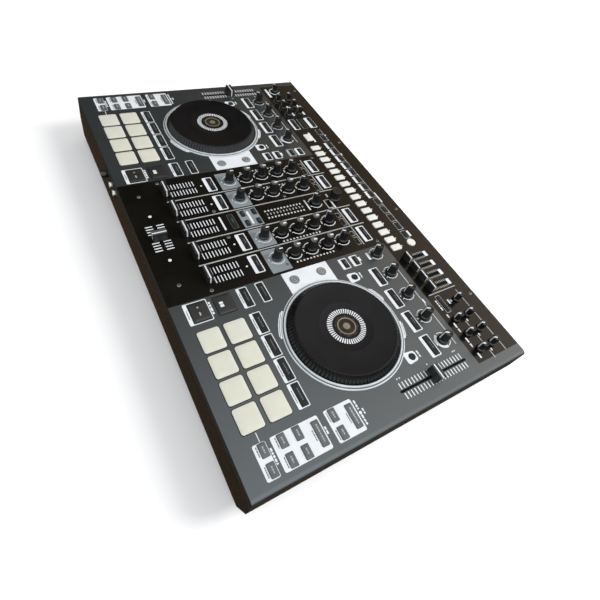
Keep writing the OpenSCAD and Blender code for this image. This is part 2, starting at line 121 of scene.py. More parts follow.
class Kit:
    """The faces of one piece, gathered in millimetres. A mark is the index of a face's material."""

    def __init__(self, centre=(0, 0, 0), angle=0.0):
        self.points, self.faces, self.marks = [], [], []
        self.centre, self.angle = Vector(centre), angle

    def add(self, points, faces, mark=0):
        start = len(self.points)
        c, s = math.cos(self.angle), math.sin(self.angle)
        for x, y, z in points:
            self.points.append(Vector((c * x - s * y, s * x + c * y, z)) + self.centre)
        self.faces += [[start + i for i in face] for face in faces]
        self.marks += [mark] * len(faces)

    def loft(self, rings, mark=0, closed=False):
        """Skin over rings of equal length, anticlockwise from above and going up, capped unless closed."""
        n, count = len(rings[0]), len(rings)
        faces = []
        for k in range(count if closed else count - 1):
            a, b = k * n, (k + 1) % count * n
            faces += [[a + i, a + (i + 1) % n, b + (i + 1) % n, b + i] for i in range(n)]
        if not closed:
            faces.append(list(range(n))[::-1])
            faces.append([(count - 1) * n + i for i in range(n)])
        self.add([p for ring in rings for p in ring], faces, mark)

    def lathe(self, x, y, profile, n=48, mark=0, closed=False, wave=None):
        """Turned solid. profile is (radius, z) going up; wave(k, angle) adds to ring k's radius."""
        rings = []
        for k, (r, z) in enumerate(profile):
            turn = [2 * math.pi * i / n for i in range(n)]
            radii = [r + (wave(k, a) if wave else 0) for a in turn]
            rings.append([(x + q * math.cos(a), y + q * math.sin(a), z) for q, a in zip(radii, turn)])
        self.loft(rings, mark, closed)

    def cutout(self, outer, holes, z0, z1, mark=0):
        """Plate between z0 and z1 with an outline and holes, all given anticlockwise."""
        loops = [outer] + list(holes)
        flat = [p for loop in loops for p in loop]
        n = len(flat)
        faces = []
        for tri in tessellate_polygon([[Vector((x, y, 0)) for x, y in loop] for loop in loops]):
            a, b, c = (flat[i] for i in tri)
            if (b[0] - a[0]) * (c[1] - a[1]) - (b[1] - a[1]) * (c[0] - a[0]) < 0:
                tri = tri[::-1]
            faces.append([i + n for i in tri])
            faces.append(list(tri)[::-1])
        start = 0
        for index, loop in enumerate(loops):
            m = len(loop)
            for i in range(m):
                a, b = start + i, start + (i + 1) % m
                wall = [a, b, b + n, a + n]
                faces.append(wall if index == 0 else wall[::-1])
            start += m
        self.add([(x, y, z0) for x, y in flat] + [(x, y, z1) for x, y in flat], faces, mark)

    def bar(self, a, b, width, z0, z1, mark=0):
        """Straight bar from a to b, seen from above."""
        a, b = Vector(a), Vector(b)
        side = (b - a).normalized().orthogonal() * width / 2
        corners = [a - side, b - side, b + side, a + side]
        if (corners[1] - corners[0]).cross(corners[2] - corners[1]) < 0:
            corners.reverse()
        self.loft([[(p.x, p.y, z) for p in corners] for z in (z0, z1)], mark)

    def block(self, lo, hi, mark=0, soft=0.0):
        """Box with its upper edges eased by soft."""
        x, y = (lo[0] + hi[0]) / 2, (lo[1] + hi[1]) / 2
        w, d = hi[0] - lo[0], hi[1] - lo[1]
        rings = [rounded(x, y, w, d, soft, lo[2]), rounded(x, y, w, d, soft, hi[2] - soft)]
        if soft:
            rings.append(rounded(x, y, w - soft, d - soft, soft, hi[2] - soft * 0.3))
            rings.append(rounded(x, y, w - 2.2 * soft, d - 2.2 * soft, soft * 0.6, hi[2]))
        self.loft(rings, mark)

    def arc(self, x, y, r, width, start, end, z0, z1, mark=0):
        """Curved strip of radius r from angle start to end, in degrees."""
        n = max(3, int((end - start) / 6))
        m = n + 1
        turn = [math.radians(start + (end - start) * i / n) for i in range(m)]
        near, far = ([(x + q * math.cos(a), y + q * math.sin(a)) for a in turn]
                     for q in (r - width / 2, r + width / 2))
        points = [(px, py, z) for z in (z0, z1) for line in (near, far) for px, py in line]
        faces = [[0, 2 * m, 3 * m, m], [n, m + n, 3 * m + n, 2 * m + n]]
        for i in range(n):
            faces.append([2 * m + i, 2 * m + i + 1, 3 * m + i + 1, 3 * m + i][::-1])
            faces.append([i, i + 1, m + i + 1, m + i])
            faces.append([m + i, m + i + 1, 3 * m + i + 1, 3 * m + i])
            faces.append([i, 2 * m + i, 2 * m + i + 1, i + 1])
        self.add(points, faces, mark)


def rounded(x, y, w, d, r, z=None, n=4):
    """Outline of a rectangle with round corners, anticlockwise."""
    r = max(0.01, min(r, w / 2 - 0.01, d / 2 - 0.01))
    points = []
    for i, (sx, sy) in enumerate(((1, 1), (-1, 1), (-1, -1), (1, -1))):
        cx, cy = x + sx * (w / 2 - r), y + sy * (d / 2 - r)
        for k in range(n + 1):
            a = math.pi / 2 * (i + k / n)
            points.append((cx + r * math.cos(a), cy + r * math.sin(a)))
    return points if z is None else [(px, py, z) for px, py in points]


def circle(x, y, r, n=32):
    turn = [2 * math.pi * i / n for i in range(n)]
    return [(x + r * math.cos(a), y + r * math.sin(a)) for a in turn]


def make(name, kit, materials, body="case", replaces=(), origin=(0, 0, 0), sharp=32):
    """The piece of a kit: a smooth-shaded mesh in metres that rides on a CAD body."""
    mesh = bpy.data.meshes.new(name)
    start = Vector(origin)
    mesh.from_pydata([(p - start) * MM for p in kit.points], [], kit.faces)
    for material in materials:
        mesh.materials.append(material)
    mesh.polygons.foreach_set("material_index", kit.marks)
    mesh.polygons.foreach_set("use_smooth", [True] * len(mesh.polygons))
    mesh.validate()
    mesh.set_sharp_from_angle(angle=math.radians(sharp))
    piece = bpy.data.objects.new(name, mesh)
    bpy.context.scene.collection.objects.link(piece)
    piece.location = start * MM
    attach(piece, body)
    if replaces:
        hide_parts(*replaces)
    return piece


# ---- materials


def link(source, output, target, socket):
    """Joins two nodes of one tree."""
    source.id_data.links.new(source.outputs[output], target.inputs[socket])


def map_range(nodes, from_min, from_max, to_min=0.0, to_max=1.0):
    node = nodes.new("ShaderNodeMapRange")
    node.inputs["From Min"].default_value, node.inputs["From Max"].default_value = from_min, from_max
    node.inputs["To Min"].default_value, node.inputs["To Max"].default_value = to_min, to_max
    return node


def noise(nodes, size, detail):
    """Noise texture whose features are about size millimetres across."""
    node = nodes.new("ShaderNodeTexNoise")
    node.inputs["Scale"].default_value = 1 / (size * MM)
    node.inputs["Detail"].default_value = detail
    return node


def colour_of(tone):
    """A tone is a grey number or a colour."""
    return (*tone, 1) if isinstance(tone, tuple) else (tone, tone, tone, 1)


def surface(name, dark, light, rough, grain=0.4, bump=0.02, cloud=30, **sockets):
    """Material with two tones in soft clouds, a grain in millimetres, and bump in millimetres."""
    material = bpy.data.materials.new(name)
    material.use_nodes = True
    nodes = material.node_tree.nodes
    shader = nodes["Principled BSDF"]
    place = nodes.new("ShaderNodeTexCoord")
    clouds, fine = noise(nodes, cloud, 4), noise(nodes, grain, 2)
    tones = nodes.new("ShaderNodeValToRGB")
    for stop, at, tone in zip(tones.color_ramp.elements, (0.35, 0.65), (dark, light)):
        stop.position, stop.color = at, colour_of(tone)
    spread = map_range(nodes, 0.3, 0.7, *rough)
    relief = nodes.new("ShaderNodeBump")
    relief.inputs["Strength"].default_value = 1.0
    relief.inputs["Distance"].default_value = bump * MM
    for texture in (clouds, fine):
        link(place, "Object", texture, "Vector")
    link(clouds, "Fac", tones, "Fac")
    link(tones, "Color", shader, "Base Color")
    link(fine, "Fac", spread, "Value")
    link(spread, "Result", shader, "Roughness")
    link(fine, "Fac", relief, "Height")
    link(relief, "Normal", shader, "Normal")
    for key, value in sockets.items():
        shader.inputs[key.replace("_", " ")].default_value = value
    return material


def dusty(material, amount=0.5, size=9.0, colour=(0.3, 0.28, 0.25)):
    """Adds scattered fine dust specks to a material's colour."""
    nodes = material.node_tree.nodes
    shader = nodes["Principled BSDF"]
    base = shader.inputs["Base Color"].links[0].from_node
    place = nodes.new("ShaderNodeTexCoord")
    specks = nodes.new("ShaderNodeTexVoronoi")
    specks.inputs["Scale"].default_value = 1 / (size * MM)
    cut = map_range(nodes, 0.03, 0.06, amount, 0)
    mix = nodes.new("ShaderNodeMixRGB")
    mix.inputs["Color2"].default_value = (*colour, 1)
    link(place, "Object", specks, "Vector")
    link(specks, "Distance", cut, "Value")
    link(cut, "Result", mix, "Fac")
    link(base, "Color", mix, "Color1")
    link(mix, "Color", shader, "Base Color")
    return material


def grooved(material, pitch=0.35, depth=0.012):
    """Replaces a material's grain with fine circles round the piece's own upright axis."""
    nodes = material.node_tree.nodes
    relief = next(n for n in nodes if n.type == "BUMP")
    place = next(n for n in nodes if n.type == "TEX_COORD")
    flat = nodes.new("ShaderNodeVectorMath")
    flat.operation = "MULTIPLY"
    flat.inputs[1].default_value = (1, 1, 0)
    radius = nodes.new("ShaderNodeVectorMath")
    radius.operation = "LENGTH"
    rings = noise(nodes, pitch, 3)
    rings.noise_dimensions = "1D"
    link(place, "Object", flat, 0)
    link(flat, "Vector", radius, 0)
    link(radius, "Value", rings, "W")
    link(rings, "Fac", relief, "Height")
    relief.inputs["Distance"].default_value = depth * MM
    around = nodes.new("ShaderNodeTangent")
    around.direction_type, around.axis = "RADIAL", "Z"
    shader = nodes["Principled BSDF"]
    shader.inputs["Anisotropic"].default_value = 0.75
    link(around, "Tangent", shader, "Tangent")
    return material


PAINTED = dict(rough=(0.45, 0.6), grain=0.3, bump=0.008)
MOULDED = dict(rough=(0.4, 0.55), grain=0.2, bump=0.012, cloud=10)
slate = dusty(surface("slate_paint", (0.0080, 0.0108, 0.0125), (0.0105, 0.0136, 0.0155), (0.34, 0.42),
                      0.35, 0.01, 60, Specular_IOR_Level=0.95, Specular_Tint=(0.93, 0.98, 1, 1)), 0.12, 14)
gloss_case = surface("gloss_black_case", (0.006, 0.005, 0.004), (0.011, 0.008, 0.006), (0.12, 0.18),
                     2.5, 0.001, 80, Specular_IOR_Level=0.5)
gloss_plate = dusty(surface("gloss_black_plate", (0.002, 0.002, 0.0018), (0.004, 0.004, 0.0035),
                            (0.14, 0.2), 0.8, 0.0012, 50, Specular_IOR_Level=0.24,
                            Specular_Tint=(1, 0.82, 0.66, 1)), 0.1, 12)
satin_silver = surface("satin_silver", (0.42, 0.46, 0.48), (0.50, 0.54, 0.56), (0.28, 0.4),
                       0.3, 0.008, 25, Metallic=0.2)
turned_steel = surface("turned_steel", (0.35, 0.35, 0.36), 0.5, (0.2, 0.35), 0.3, 0.01, 10, Metallic=1)
nickel = surface("nickel", (0.42, 0.41, 0.39), (0.55, 0.54, 0.52), (0.16, 0.3), 0.5, 0.008, 12, Metallic=1)
board_green = surface("board_green", (0.01, 0.10, 0.05), (0.015, 0.14, 0.07), (0.3, 0.45), 0.5, 0.02, 15)
foot_rubber = surface("foot_rubber", 0.012, 0.03, (0.75, 0.9), 0.5, 0.05, 8)
screw_steel = surface("screw_steel", (0.10, 0.10, 0.09), (0.18, 0.17, 0.16), (0.3, 0.5), 0.25, 0.02, 4,
                      Metallic=0.5)
jog_side = dusty(surface("jog_fluted_side", 0.003, 0.005, (0.16, 0.24), 0.5, 0.006, 12,
                         Specular_IOR_Level=0.22), 0.15, 5)
jog_top = grooved(surface("jog_top", (0.002, 0.002, 0.003), (0.004, 0.004, 0.005), (0.16, 0.24),
                          0.4, 0.01, 40, Specular_IOR_Level=0.16))
jog_hub = grooved(surface("jog_hub_bronze", (0.13, 0.112, 0.085), (0.2, 0.175, 0.135), (0.3, 0.42),
                          0.4, 0.01, 12, Metallic=0.2), 0.25, 0.006)
hub_dark = surface("jog_hub_dark", (0.010, 0.008, 0.005), (0.022, 0.016, 0.010), (0.3, 0.45),
                   0.4, 0.01, 8, Specular_IOR_Level=0.15)
white_ink = surface("white_ink", (0.56, 0.58, 0.60), (0.60, 0.63, 0.65), **PAINTED, cloud=20)
grey_ink = surface("grey_ink", (0.27, 0.27, 0.26), (0.33, 0.33, 0.32), **PAINTED, cloud=20)
dim_ink = surface("dim_ink", (0.05, 0.05, 0.048), (0.075, 0.075, 0.07), **PAINTED, cloud=20)
dark_ink = surface("dark_ink", (0.05, 0.055, 0.06), (0.08, 0.085, 0.09), **PAINTED, cloud=10)
plate_ink = surface("filter_plate_ink", (0.16, 0.185, 0.195), (0.19, 0.215, 0.23), (0.35, 0.5),
                    0.35, 0.008, 25)
ivory = surface("pad_silicone", (0.50, 0.497, 0.425), (0.52, 0.517, 0.44), (0.42, 0.56), 0.25, 0.012, 14,
                Subsurface_Weight=0.2, Subsurface_Radius=(2, 1.6, 1), Subsurface_Scale=0.001)
key_dark = surface("key_dark", (0.010, 0.011, 0.011), (0.016, 0.017, 0.017), **MOULDED,
                   Specular_IOR_Level=0.14)
key_grey = surface("key_grey", (0.055, 0.060, 0.062), (0.075, 0.08, 0.085), **MOULDED)
key_pale = surface("key_pale", (0.20, 0.21, 0.21), (0.26, 0.27, 0.27), **MOULDED)
key_black = surface("key_black", 0.007, 0.012, (0.35, 0.5), 0.2, 0.012, 10)
key_white = surface("key_white", (0.54, 0.54, 0.51), (0.60, 0.60, 0.57), (0.35, 0.5), 0.25, 0.01, 10,
                    Subsurface_Weight=0.15, Subsurface_Radius=(1.5, 1.5, 1.2), Subsurface_Scale=0.001)
knob_black = surface("knob_rubber", 0.003, 0.006, (0.24, 0.34), 0.25, 0.012, 6, Specular_IOR_Level=0.4)
knob_top = surface("knob_top_grey", 0.060, (0.085, 0.085, 0.083), (0.4, 0.55), 0.25, 0.012, 4)
cap_black = surface("fader_cap", 0.006, 0.012, (0.26, 0.4), 0.3, 0.01, 8)
led_clear = surface("led_window", (0.44, 0.46, 0.44), (0.52, 0.54, 0.52), (0.15, 0.25), 0.4, 0.008, 3)
# Flat unreflecting black: painted shade of open fader slots, of the gaps round pads and big keys, and of
# screw recesses.
gap_shade = surface("painted_gap_shade", 0.002, 0.005, (0.6, 0.8), 0.4, 0.02, 5, Specular_IOR_Level=0.05)
ring_red = surface("socket_red", (0.45, 0.02, 0.015), (0.55, 0.03, 0.02), (0.3, 0.45), 0.3, 0.01, 5)
ring_white = surface("socket_white", (0.5, 0.5, 0.48), (0.58, 0.58, 0.56), (0.3, 0.45), 0.3, 0.01, 5)


def paint(node, material):
    """Gives a carried-over CAD node its material."""
    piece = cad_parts[node]
    piece.data.materials.clear()
    piece.data.materials.append(material)


paint("top_panel", slate)
paint("bottom_case", gloss_case)
paint("faceplates", gloss_plate)
paint("jog_spindles", turned_steel)
paint("io_sockets", nickel)
paint("circuit_boards", board_green)
paint("rubber_feet", foot_rubber)

# ---- jog wheels

FLUTES = 96
FLUTE_DEPTH = 1.7


def jog_wheel(name):
    """Fluted side, grooved top with a shallow dish, ring of white ticks and bronze hub."""
    node = f"{name}_jog_wheel"
    lo, hi = box(node)
    c = JOG[name]
    foot_r, top = (hi.x - lo.x) / 2, hi.z
    foot = DECK + LIFT
    top_r = foot_r - 7.5
    rim_r = top_r - 1.3

    share = [0, 0, 0.5, 1, 1, 1, 0.6, 0.1, 0, 0]
    side = [(foot_r - 2, foot), (foot_r - 0.3, foot), (foot_r, foot + 0.5), (foot_r, foot + 1.6),
            (foot_r - 2.5, foot + 4.2), (top_r + 1.0, top - 2.2), (top_r, top - 0.7),
            (top_r - 0.5, top - 0.1), (rim_r, top), (rim_r - 0.3, top - 1.6)]

    def flute(k, angle):
        return -FLUTE_DEPTH * share[k] * (0.5 - 0.5 * math.cos(FLUTES * angle)) ** 0.7

    kit = Kit()
    kit.lathe(c.x, c.y, side, FLUTES * 8, 0, wave=flute)
    make(f"{name}_jog_side", kit, [jog_side], node, [node], (c.x, c.y, 0), sharp=50)

    kit = Kit()
    dish_r = 36
    kit.lathe(c.x, c.y, [(rim_r - 0.4, top - 1), (rim_r - 0.4, top - 0.02), (rim_r - 0.7, top + 0.02),
                         (rim_r - 1.6, top - 0.15), (rim_r - 2.2, top - 0.3), (dish_r + 1.5, top - 0.3),
                         (dish_r, top - 0.42), (dish_r - 2.5, top - 0.95), (15, top - 1.0), (5, top - 1.0),
                         (0.4, top - 1.0)], 180)
    make(f"{name}_jog_top", kit, [jog_top], node, origin=(c.x, c.y, 0), sharp=60)
    jog_ticks(name, node, c, top)
    jog_hub_parts(name, node, c, top)


def jog_ticks(name, node, c, top, ticks=48, near=19.5, far=26.5):
    """Ring of white ticks that widen outwards, on the floor of the dish."""
    kit = Kit()
    for i in range(ticks):
        a = 2 * math.pi * i / ticks
        along = Vector((math.cos(a), math.sin(a)))
        side_way = Vector((-along.y, along.x))
        corners = [along * near - side_way * 0.6, along * far - side_way * 0.95,
                   along * far + side_way * 0.95, along * near + side_way * 0.6]
        kit.loft([[(c.x + p.x, c.y + p.y, z) for p in corners] for z in (top - 1.02, top - 0.9)])
    make(f"{name}_jog_ticks", kit, [white_ink], node)


def jog_hub_parts(name, node, c, top, bolts=8):
    """Dark hub disc with a bronze ring, a boss and a circle of bolt heads."""
    kit = Kit()
    kit.lathe(c.x, c.y, [(16, top - 1.02), (16, top - 0.85), (13, top - 0.8), (0.3, top - 0.8)], 96, 0)
    kit.lathe(c.x, c.y, [(12.9, top - 0.9), (12.9, top - 0.45), (12.6, top - 0.35), (11.6, top - 0.35),
                         (11.3, top - 0.45), (11.3, top - 0.9)], 96, 1, closed=True)
    kit.lathe(c.x, c.y, [(5, top - 0.9), (4.8, top - 0.6), (3.5, top - 0.45), (0.3, top - 0.4)], 48, 1)
    for i in range(bolts):
        a = 2 * math.pi * (i + 0.5) / bolts
        kit.lathe(c.x + 15 * math.cos(a), c.y + 15 * math.sin(a),
                  [(0.6, top - 0.9), (0.5, top - 0.65), (0.1, top - 0.6)], 10, 1)
    make(f"{name}_jog_hub", kit, [hub_dark, jog_hub], node, origin=(c.x, c.y, 0))


# Start and end angles of the white tabs round each ring
TABS = {"right": ((62, 76), (106, 120), (230, 254)), "left": ((60, 74), (104, 118), (286, 310))}


def jog_ring_set():
    """The silver rings: a bright bevelled band with a groove, and white tabs on their outer side."""
    kit, tabs = Kit(), Kit()
    low, high = DECK, box("jog_rings")[1].z
    r, inner = RING_R, RING_R - 5.9
    outer = [(r, low), (r, low + 0.9), (r - 0.5, low + 1.6), (r - 1.6, low + 1.8), (r - 1.9, low + 0.8),
             (r - 1.9, low)]
    groove = [(r - 1.8, low), (r - 1.8, low + 0.9), (r - 3.4, low + 1.3), (r - 3.4, low)]
    crest = [(r - 3.3, low), (r - 3.3, high - 0.4), (r - 3.7, high), (inner + 0.5, high),
             (inner, high - 0.4), (inner, low)]
    for name, c in JOG.items():
        for profile, mark in ((outer, 0), (groove, 1), (crest, 0)):
            kit.lathe(c.x, c.y, profile, 256, mark, closed=True)
        for start, end in TABS[name]:
            tabs.arc(c.x, c.y, r + 1.3, 2.4, start - 2, end + 2, DECK, DECK + 0.5)
            tabs.arc(c.x, c.y, r + 2.8, 2.0, start, end, DECK, DECK + 0.5)
    make("jog_ring_bands", kit, [satin_silver, key_grey], replaces=["jog_rings"])
    make("jog_ring_tabs", tabs, [white_ink])


def touch_plates():
    """White plates at the inner side of each jog wheel, round the two touch keys."""
    kit = Kit()
    for name, s in SIDES:
        c = JOG[name]
        inner = s * 116.5
        rear, front = c.y + 38, c.y - 37
        reach = RING_R + 0.3
        a0, a1 = math.asin((rear - c.y) / reach), math.asin((front - c.y) / reach)
        turn = [a0 + (a1 - a0) * i / 24 for i in range(25)]
        arc = [(c.x - s * reach * math.cos(a), c.y + reach * math.sin(a)) for a in turn]
        outline = [(inner, rear), (inner, front)] + arc[::-1]
        if s < 0:
            outline.reverse()
        holes = [circle(*middle(k).xy, 7.5) for k in solids(f"{name}_deck_buttons")
                 if size_is(k, *TOUCH)]
        kit.cutout(outline, holes, DECK, DECK + 0.3)
    make("touch_plates", kit, [white_ink])


for side_name, _ in SIDES:
    jog_wheel(side_name)
jog_ring_set()
touch_plates()

# ---- pads and keys


def cap(kit, b, corner=1.0, edge=0.5, crown=0.15, mark=0):
    """Key or pad with eased edges and a slightly crowned top, filling the box of its CAD solid."""
    c, (w, d), top = middle(b), span(b), b[1].z
    steps = [(0, b[0].z), (0, top - edge - crown), (edge * 0.3, top - edge * 0.3 - crown),
             (edge, top - crown), (min(w, d) * 0.2, top - crown * 0.3), (min(w, d) * 0.36, top)]
    kit.loft([rounded(c.x, c.y, w - 2 * i, d - 2 * i, max(corner - i * 0.5, 0.4), z)
              for i, z in steps], mark)


def round_cap(kit, b, mark=0, rings=False):
    """Round key with an eased edge, and concentric ridges if rings is set."""
    c, r, top = middle(b), span(b)[0] / 2, b[1].z
    profile = [(r, b[0].z), (r, top - 0.7), (r - 0.25, top - 0.3), (r - 0.7, top - 0.15)]
    if rings:
        for k in range(3):
            q = r * (0.78 - 0.22 * k)
            profile += [(q, top - 0.15), (q - 0.25, top - 0.45), (q - 0.7, top - 0.45),
                        (q - 0.95, top - 0.15)]
    else:
        profile += [(r * 0.6, top - 0.1), (r * 0.4, top - 0.35)]
    kit.lathe(c.x, c.y, profile + [(0.2, profile[-1][1])], 40, mark)


def dashes(kit, x, y, width, height, z, mark=0):
    """Row of short bars that stands for a printed word."""
    rng = random.Random(round(x * 7 + y * 13))
    at = x - width / 2
    while at < x + width / 2 - height * 0.4:
        step = min(rng.uniform(0.8, 2.6) * height, x + width / 2 - at)
        kit.bar((at, y), (at + step, y), height, z, z + INK / 2, mark)
        at += step + height * 0.45


# Material of each kind of deck key, and the share of its width that its printed word takes
DECK_KEYS = {
    "mode_keys": (MODE, key_dark, 0.55), "effect_keys": (EFFECT, key_dark, 0.35),
    "cue_key": (CUE, key_black, 0), "play_key": (PLAY, key_black, 0), "small_keys": (SMALL, key_dark, 0.5),
    "wide_keys": (WIDE, key_grey, 0.7), "pair_keys": (PAIR, key_grey, 0.5),
}


def deck_controls(name):
    """The pads and keys of one deck, each kind its own piece."""
    kit = Kit()
    for b in solids(f"{name}_pads"):
        cap(kit, b, 3.0, 0.7, 0.35)
    make(f"{name}_performance_pads", kit, [ivory], f"{name}_pads", [f"{name}_pads"])

    node = f"{name}_deck_buttons"
    keys = solids(node)
    for kind, (size, material, share) in DECK_KEYS.items():
        kit = Kit()
        for b in keys:
            if size_is(b, *size):
                cap(kit, b)
                c = middle(b)
                if share:
                    dashes(kit, c.x, c.y, size[0] * share, 1.5, b[1].z - 0.03, 1)
        ink = grey_ink if material is key_grey else dark_ink
        replaced = [node] if kind == "mode_keys" else []
        make(f"{name}_{kind}", kit, [material, ink], node, replaced)
    round_keys, touch_keys = Kit(), Kit()
    for b in keys:
        if size_is(b, *ROUND):
            round_cap(round_keys, b)
        elif size_is(b, *TOUCH):
            c, r, top = middle(b), span(b)[0] / 2, b[1].z
            round_cap(touch_keys, b, rings=True)
            touch_keys.arc(c.x, c.y, r * 0.84, 0.9, 0, 360, top - 0.3, top - 0.02, 1)
            touch_keys.arc(c.x, c.y, r * 0.36, 0.9, 0, 360, top - 0.5, top - 0.02, 1)
    make(f"{name}_round_keys", round_keys, [key_dark], node)
    make(f"{name}_touch_keys", touch_keys, [key_pale, dark_ink], node)


for side_name, _ in SIDES:
    deck_controls(side_name)


def mixer_keys():
    kit = Kit()
    for b in solids("mixer_buttons"):
        cap(kit, b)
        c = middle(b)
        dashes(kit, c.x, c.y, span(b)[0] * 0.35, 1.4, b[1].z - 0.03, 1)
    make("mixer_keys", kit, [key_dark, dark_ink], "mixer_buttons", ["mixer_buttons"])


def band_keys():
    """Step keys, and the row, wide, white and round keys of the rear band."""
    kit = Kit()
    for b in solids("step_buttons"):
        cap(kit, b, 2.2, 0.9, 0.2)
    make("step_keys", kit, [key_white], "step_buttons", ["step_buttons"])
    white, dark = Kit(), Kit()
    for b in solids("drum_buttons"):
        if size_is(b, *WHITE_KEY):
            cap(white, b, 1.6)
        elif size_is(b, *TAP_KEY):
            round_cap(white, b)
        else:
            cap(dark, b)
    make("band_dark_keys", dark, [key_dark], "drum_buttons", ["drum_buttons"])
    make("band_white_keys", white, [key_white], "drum_buttons")


mixer_keys()
band_keys()

# ---- knobs


def knob_solid(kit, r, top_r, foot, top, flutes=16):
    """Skirt and fluted grip of a knob on its own axis, with the stub of its shaft."""
    kit.lathe(0, 0, [(2.9, DECK - 2), (2.9, foot + 0.5)], 24, 0)
    profile = [(r - 0.7, foot), (r, foot + 0.4), (r, foot + 1.9), (r - 0.5, foot + 2.7),
               (r - 1.1, foot + 3.0), (r - 1.2, foot + 3.4), (r - 1.3, foot + 4.4),
               (top_r + 0.1, top - 1.4), (top_r - 0.1, top - 0.6), (top_r - 0.5, top - 0.12),
               (top_r - 1.0, top), (top_r - 1.3, top - 0.2), (0.3, top - 0.3)]
    share = [0, 0, 0, 0, 0, 0.3, 1, 1, 0.5, 0.1, 0, 0, 0]

    def grip(k, angle):
        return -0.6 * share[k] * (0.5 + 0.5 * math.cos(flutes * angle)) ** 2

    kit.lathe(0, 0, profile, flutes * 6, 0, wave=grip)


def pointer(kit, r, top_r, foot, top, width, mark=1):
    """White line from the middle of a knob's top to its rim, and down its side to the skirt."""
    half, rim = width / 2, top_r - 0.7
    kit.loft([[(0, -half, z), (rim, -half, z), (rim, half, z), (0, half, z)]
              for z in (top - 0.3, top + 0.02)], mark)
    rings = []
    for q, z in ((r - 1.15 + 0.1, foot + 3.6), (top_r + 0.22, top - 1.2), (top_r - 0.5, top + 0.03)):
        rings.append([(q - 1.6, -half, z), (q, -half, z), (q, half, z), (q - 1.6, half, z)])
    kit.loft(rings, mark)


def knob(node, angle, style="line"):
    """A rotary knob standing for its CAD node. angle is where its line points, in degrees from +X."""
    rotary_knob(f"{node}_cap", box(node), angle, style, node, [node])


def rotary_knob(name, b, angle, style, body, replaced, taper=2.0):
    """A knob with a line, with a line on a grey disc, or with neither: an encoder."""
    c, r, top = middle(b), span(b)[0] / 2, b[1].z
    foot = DECK + LIFT
    top -= 0.06  # leaves room for the line
    top_r = r - taper if style != "encoder" else r - 1.0
    kit = Kit((c.x, c.y, 0), math.radians(angle))
    knob_solid(kit, r, top_r, foot, top, 28 if style == "encoder" else 16)
    if style == "disc":
        kit.lathe(0, 0, [(top_r - 0.9, top - 0.4), (top_r - 1.0, top + 0.01), (0.3, top + 0.01)], 32, 2)
        pointer(kit, r, top_r, foot, top + 0.03, 2.6)
    elif style == "line":
        pointer(kit, r, top_r, foot, top, 1.8)
    elif style == "encoder":
        kit.lathe(0, 0, [(top_r - 1.8, top - 0.4), (top_r - 2.0, top - 0.05), (0.3, top - 0.15)], 40, 0)
    make(name, kit, [knob_black, white_ink, knob_top], body, replaced, (c.x, c.y, 0),
         sharp=40)


LOW, UP = 240, 90  # where the lines point: at the low end of the turn, and straight to the rear
for i in (1, 2, 3, 4):
    knob(f"trim_knob_{i}", LOW)
    for row in ("high", "mid", "low"):
        knob(f"{row}_knob_{i}", UP, "disc")
    knob(f"filter_knob_{i}", UP)
    for side_name, _ in SIDES:
        knob(f"{side_name}_effect_knob_{i}", LOW)
knob("main_level_knob", LOW)
knob("cue_mix_knob", LOW)
knob("browse_knob", UP, "encoder")


def small_rear_knobs():
    """The small fixed knobs of the rear band, one piece each."""
    for k, b in enumerate(solids("rear_knobs")):
        replaced = ["rear_knobs"] if k == 0 else []
        rotary_knob(f"rear_knob_{k + 1}", b, LOW, "line", "case", replaced, 1.2)


def front_knob():
    """The small level knob on the front wall, turned about the front-to-rear axis."""
    b = box("front_level_knob")
    c, r, reach = middle(b), span(b)[0] / 2, 7.2
    kit, local = Kit(), Kit()

    def grip(k, angle):
        return -0.3 * (1 if 1 < k < 5 else 0) * (0.5 + 0.5 * math.cos(16 * angle)) ** 2

    local.lathe(0, 0, [(r - 0.3, 0), (r, 0.4), (r, 1.0), (r - 0.1, 3), (r - 0.2, reach - 0.9),
                       (r - 0.6, reach - 0.2), (r - 1.1, reach - 0.03), (0.3, reach - 0.1)], 96, wave=grip)
    local.lathe(0, 0, [(2.9, -6), (2.9, 0.3)], 24, 0)
    local.loft([[(-0.45, 0.6, z), (0.45, 0.6, z), (0.45, r - 1, z), (-0.45, r - 1, z)]
                for z in (reach - 0.3, reach)], 1)
    for x, y, z in local.points:
        kit.points.append(Vector((c.x + x, b[0].y + reach - z, c.z + y)))
    kit.faces, kit.marks = local.faces, local.marks
    make("front_level_knob_cap", kit, [knob_black, white_ink], "front_level_knob",
         ["front_level_knob"], sharp=40)


small_rear_knobs()
front_knob()

# ---- faders


def fader_cap(kit, c, w, d, foot, top, turned=False):
    """Cap with a waisted side, a saddle across its top, and a white core line along its long side."""
    h = top - foot
    outline = [(-d / 2, foot), (-d / 2, foot + 0.18 * h), (-d / 2 + 0.12 * d, foot + 0.45 * h),
               (-d / 2 + 0.1 * d, top - 0.16 * h), (-d / 2 + 0.13 * d, top - 0.04 * h),
               (-d / 2 + 0.2 * d, top), (-0.18 * d, top - 0.11 * h), (-0.06 * d, top - 0.13 * h)]
    loop = outline + [(-y, z) for y, z in outline[::-1]]
    rings = []
    for x, shrink in ((-w / 2, 0.86), (-w / 2 + 0.25, 0.95), (-w / 2 + 0.8, 1), (w / 2 - 0.8, 1),
                      (w / 2 - 0.25, 0.95), (w / 2, 0.86)):
        ring = []
        for y, z in loop:
            y, z = y * shrink, foot + (z - foot) * (0.97 + 0.03 * shrink)
            ring.append((-y + c.x, x + c.y, z) if turned else (x + c.x, y + c.y, z))
        rings.append(ring)
    kit.loft(rings, 0)
    saddle = top - 0.13 * h
    line, over = 0.95, w / 2 + 0.04
    x, y = (line, over) if turned else (over, line)
    kit.block((c.x - x, c.y - y, foot + 0.03 * h), (c.x + x, c.y + y, saddle + 0.12), 1)
    kit.block((c.x - 0.8, c.y - 0.8, DECK - 4), (c.x + 0.8, c.y + 0.8, foot + 1), 2)


